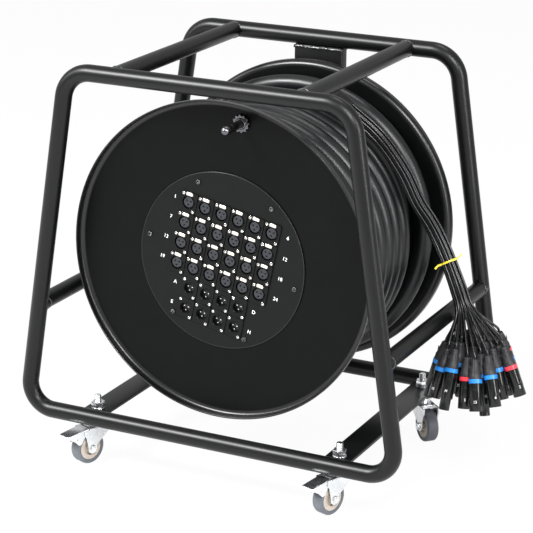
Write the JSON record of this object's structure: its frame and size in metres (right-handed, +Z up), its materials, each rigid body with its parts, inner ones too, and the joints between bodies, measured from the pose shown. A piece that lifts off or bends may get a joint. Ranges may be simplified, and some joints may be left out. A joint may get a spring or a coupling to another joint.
{
  "type": "multicore cable drum",
  "caption": "Cable drum with a round connector panel, turning on a spindle in a castored tube frame, wound with thick multicore cable whose tails end in plugs.",
  "frame": {"origin": "middle of the frame on the floor, under the drum, half way between the two hoops", "axes": "+X to the right seen from the connector panel, +Y to the rear along the drum's axis, +Z up"},
  "size_m": [0.7209, 0.4216, 0.6136],
  "materials": {
    "frame_paint": "satin black powder coat",
    "bar_paint": "gloss black powder coat",
    "drum_paint": "semi-gloss black powder coat",
    "panel_paint": "satin charcoal coat",
    "zinc": "zinc plated",
    "bright_steel": "bright nickel plate",
    "bearing_steel": "ground",
    "tyre": "light grey rubber",
    "wheel_plastic": "beige grey",
    "connector_metal": "black die casting",
    "contact_insert": "dark grey",
    "latch_metal": "bright",
    "cable_pvc": "black PVC with soft sheen",
    "tail_pvc": "black PVC",
    "grip_plastic": "black",
    "boot_rubber": "black ribbed boot",
    "shrink_sleeve": "black sleeve",
    "blue_plastic": "blue",
    "red_plastic": "red",
    "yellow_tie": "yellow",
    "plug_metal": "black nickel"
  },
  "bodies": {
    "frame": {"front_hoop": "frame_paint", "rear_hoop": "frame_paint", "top_tube_left": "frame_paint", "top_tube_right": "frame_paint", "side_tube_left": "frame_paint", "side_tube_right": "frame_paint", "base_bar_left": "bar_paint", "base_bar_right": "bar_paint", "rear_post": "frame_paint", "spindle": "zinc", "spindle_nut": "zinc", "caster_stems": "zinc", "stem_nuts": "zinc", "breakout": "shrink_sleeve", "input_tails": "tail_pvc", "return_tails": "tail_pvc", "tail_tie": "yellow_tie", "plug_boots": "boot_rubber", "blue_rings": "blue_plastic", "red_rings": "red_plastic", "input_plugs": "plug_metal", "return_plugs": "plug_metal"},
    "drum": {"front_flange": "drum_paint", "rear_flange": "drum_paint", "barrel": "drum_paint", "hub": "drum_paint", "hub_bearings": "bearing_steel", "connector_panel": "panel_paint", "panel_screws": "bright_steel", "input_sockets": "connector_metal", "input_inserts": "contact_insert", "return_sockets": "connector_metal", "return_pins": "bright_steel", "socket_screws": "bright_steel", "crank_pin": "bright_steel", "crank_nut": "zinc", "lower_layers": "cable_pvc", "winding": "cable_pvc", "cable_gland": "grip_plastic", "wiring_loom": "cable_pvc"},
    "crank_grip": {"crank_sleeve": "grip_plastic"},
    "latch_tabs": {"input_latches": "latch_metal"},
    "swivel_front_left": {"fork_front_left": "zinc", "axle_front_left": "zinc"},
    "castor_wheel_front_left": {"wheel_front_left": "wheel_plastic", "tyre_front_left": "tyre"},
    "swivel_front_right": {"fork_front_right": "zinc", "axle_front_right": "zinc"},
    "castor_wheel_front_right": {"wheel_front_right": "wheel_plastic", "tyre_front_right": "tyre"},
    "swivel_rear_left": {"fork_rear_left": "zinc", "axle_rear_left": "zinc"},
    "castor_wheel_rear_left": {"wheel_rear_left": "wheel_plastic", "tyre_rear_left": "tyre"},
    "swivel_rear_right": {"fork_rear_right": "zinc", "axle_rear_right": "zinc"},
    "castor_wheel_rear_right": {"wheel_rear_right": "wheel_plastic", "tyre_rear_right": "tyre"},
    "pedal_left": {"brake_pedal_left": "zinc"},
    "pedal_right": {"brake_pedal_right": "zinc"}
  },
  "joints": [
    {"name": "drum_spin", "type": "hinge", "parent": "frame", "child": "drum", "pos_m": [0, 0, 0.337], "axis": [0, 1, 0], "continuous": true},
    {"name": "crank_grip_spin", "type": "hinge", "parent": "drum", "child": "crank_grip", "pos_m": [0.03038, -0.162, 0.54277], "axis": [0, 1, 0], "continuous": true},
    {"name": "latch_press", "type": "slide", "parent": "drum", "child": "latch_tabs", "axis": [0, 1, 0], "range_m": [0, 0.0012], "stiffness_N_per_m": 400},
    {"name": "swivel_front_left", "type": "hinge", "parent": "frame", "child": "swivel_front_left", "pos_m": [-0.1985, -0.154, 0.06], "axis": [0, 0, 1], "continuous": true},
    {"name": "roll_front_left", "type": "hinge", "parent": "swivel_front_left", "child": "castor_wheel_front_left", "pos_m": [-0.20602, -0.17467, 0.025], "axis": [0.9397, -0.342, 0], "continuous": true},
    {"name": "swivel_front_right", "type": "hinge", "parent": "frame", "child": "swivel_front_right", "pos_m": [0.1985, -0.154, 0.06], "axis": [0, 0, 1], "continuous": true},
    {"name": "roll_front_right", "type": "hinge", "parent": "swivel_front_right", "child": "castor_wheel_front_right", "pos_m": [0.1917, -0.17492, 0.025], "axis": [0.9511, -0.309, 0], "continuous": true},
    {"name": "swivel_rear_left", "type": "hinge", "parent": "frame", "child": "swivel_rear_left", "pos_m": [-0.1985, 0.154, 0.06], "axis": [0, 0, 1], "continuous": true},
    {"name": "roll_rear_left", "type": "hinge", "parent": "swivel_rear_left", "child": "castor_wheel_rear_left", "pos_m": [-0.22017, 0.15782, 0.025], "axis": [-0.1736, -0.9848, 0], "continuous": true},
    {"name": "swivel_rear_right", "type": "hinge", "parent": "frame", "child": "swivel_rear_right", "pos_m": [0.1985, 0.154, 0.06], "axis": [0, 0, 1], "continuous": true},
    {"name": "roll_rear_right", "type": "hinge", "parent": "swivel_rear_right", "child": "castor_wheel_rear_right", "pos_m": [0.21459, 0.139, 0.025], "axis": [0.682, 0.7314, 0], "continuous": true},
    {"name": "press_pedal_left", "type": "hinge", "parent": "swivel_front_left", "child": "pedal_left", "pos_m": [-0.20876, -0.18219, 0.0551], "axis": [0.9397, -0.342, 0], "range_deg": [0, 12]},
    {"name": "press_pedal_right", "type": "hinge", "parent": "swivel_front_right", "child": "pedal_right", "pos_m": [0.18923, -0.18253, 0.0551], "axis": [0.9511, -0.309, 0], "range_deg": [0, 12]}
  ]
}
